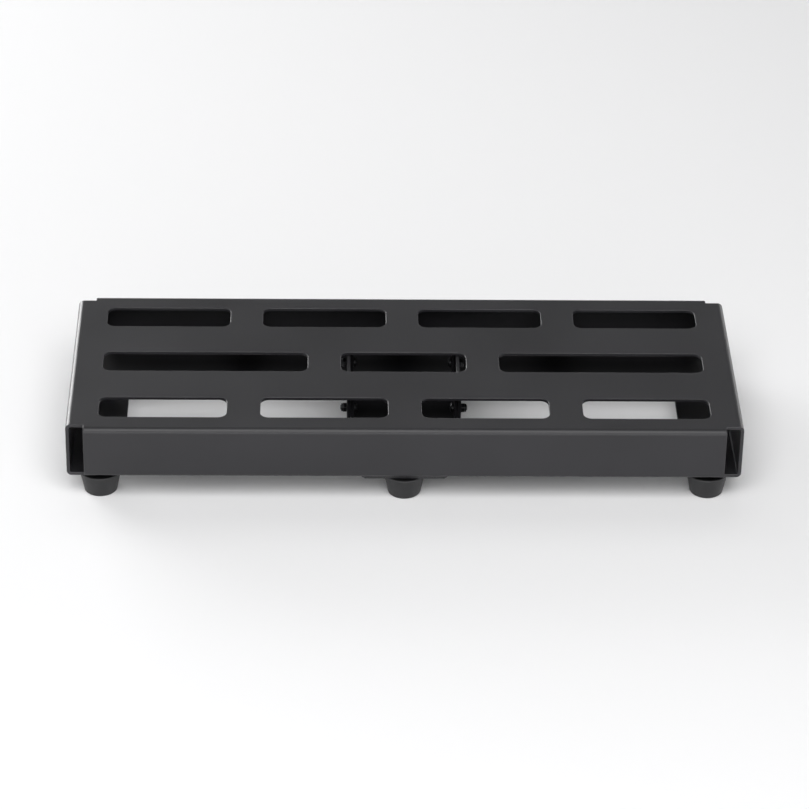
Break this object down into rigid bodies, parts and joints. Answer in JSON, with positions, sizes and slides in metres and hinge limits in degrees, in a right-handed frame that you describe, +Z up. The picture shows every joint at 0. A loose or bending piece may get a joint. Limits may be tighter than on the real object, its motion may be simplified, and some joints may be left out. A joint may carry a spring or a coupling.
{
  "type": "pedalboard",
  "caption": "Flat slotted effects pedalboard: one black sheet-metal deck with its edges folded back underneath, a channel brace and tapered rubber feet.",
  "frame": {"origin": "on the floor under the middle of the board", "axes": "+X along the board to the right, +Y from the front to the rear, +Z up; the player stands at -Y"},
  "size_m": [0.61, 0.238, 0.0755],
  "materials": {
    "deck_coat": "satin black powder coat with a fine texture, on folded aluminium sheet",
    "brace_coat": "satin black powder coat on folded aluminium sheet",
    "foot_rubber": "dark moulded rubber, matte",
    "black_hardware": "black-plated steel screws and lock nuts, with a nylon ring in each nut",
    "washer_zinc": "zinc-plated steel washers"
  },
  "bodies": {
    "root": {"deck": "deck_coat", "centre_brace": "brace_coat", "brace_lug_front_left": "brace_coat", "brace_lug_front_right": "brace_coat", "brace_lug_rear_left": "brace_coat", "brace_lug_rear_right": "brace_coat", "brace_screw_front_left": "black_hardware", "brace_screw_front_right": "black_hardware", "brace_screw_rear_left": "black_hardware", "brace_screw_rear_right": "black_hardware", "brace_nut_front_left": "black_hardware", "brace_nut_front_right": "black_hardware", "brace_nut_rear_left": "black_hardware", "brace_nut_rear_right": "black_hardware", "foot_front_left": "foot_rubber", "foot_front_middle": "foot_rubber", "foot_front_right": "foot_rubber", "foot_rear_left": "foot_rubber", "foot_rear_middle": "foot_rubber", "foot_rear_right": "foot_rubber", "foot_washer_front_left": "washer_zinc", "foot_washer_front_middle": "washer_zinc", "foot_washer_front_right": "washer_zinc", "foot_washer_rear_left": "washer_zinc", "foot_washer_rear_middle": "washer_zinc", "foot_washer_rear_right": "washer_zinc", "foot_screw_front_left": "black_hardware", "foot_screw_front_middle": "black_hardware", "foot_screw_front_right": "black_hardware", "foot_screw_rear_left": "black_hardware", "foot_screw_rear_middle": "black_hardware", "foot_screw_rear_right": "black_hardware", "foot_nut_front_left": "black_hardware", "foot_nut_front_middle": "black_hardware", "foot_nut_front_right": "black_hardware", "foot_nut_rear_left": "black_hardware", "foot_nut_rear_middle": "black_hardware", "foot_nut_rear_right": "black_hardware"}
  },
  "joints": []
}
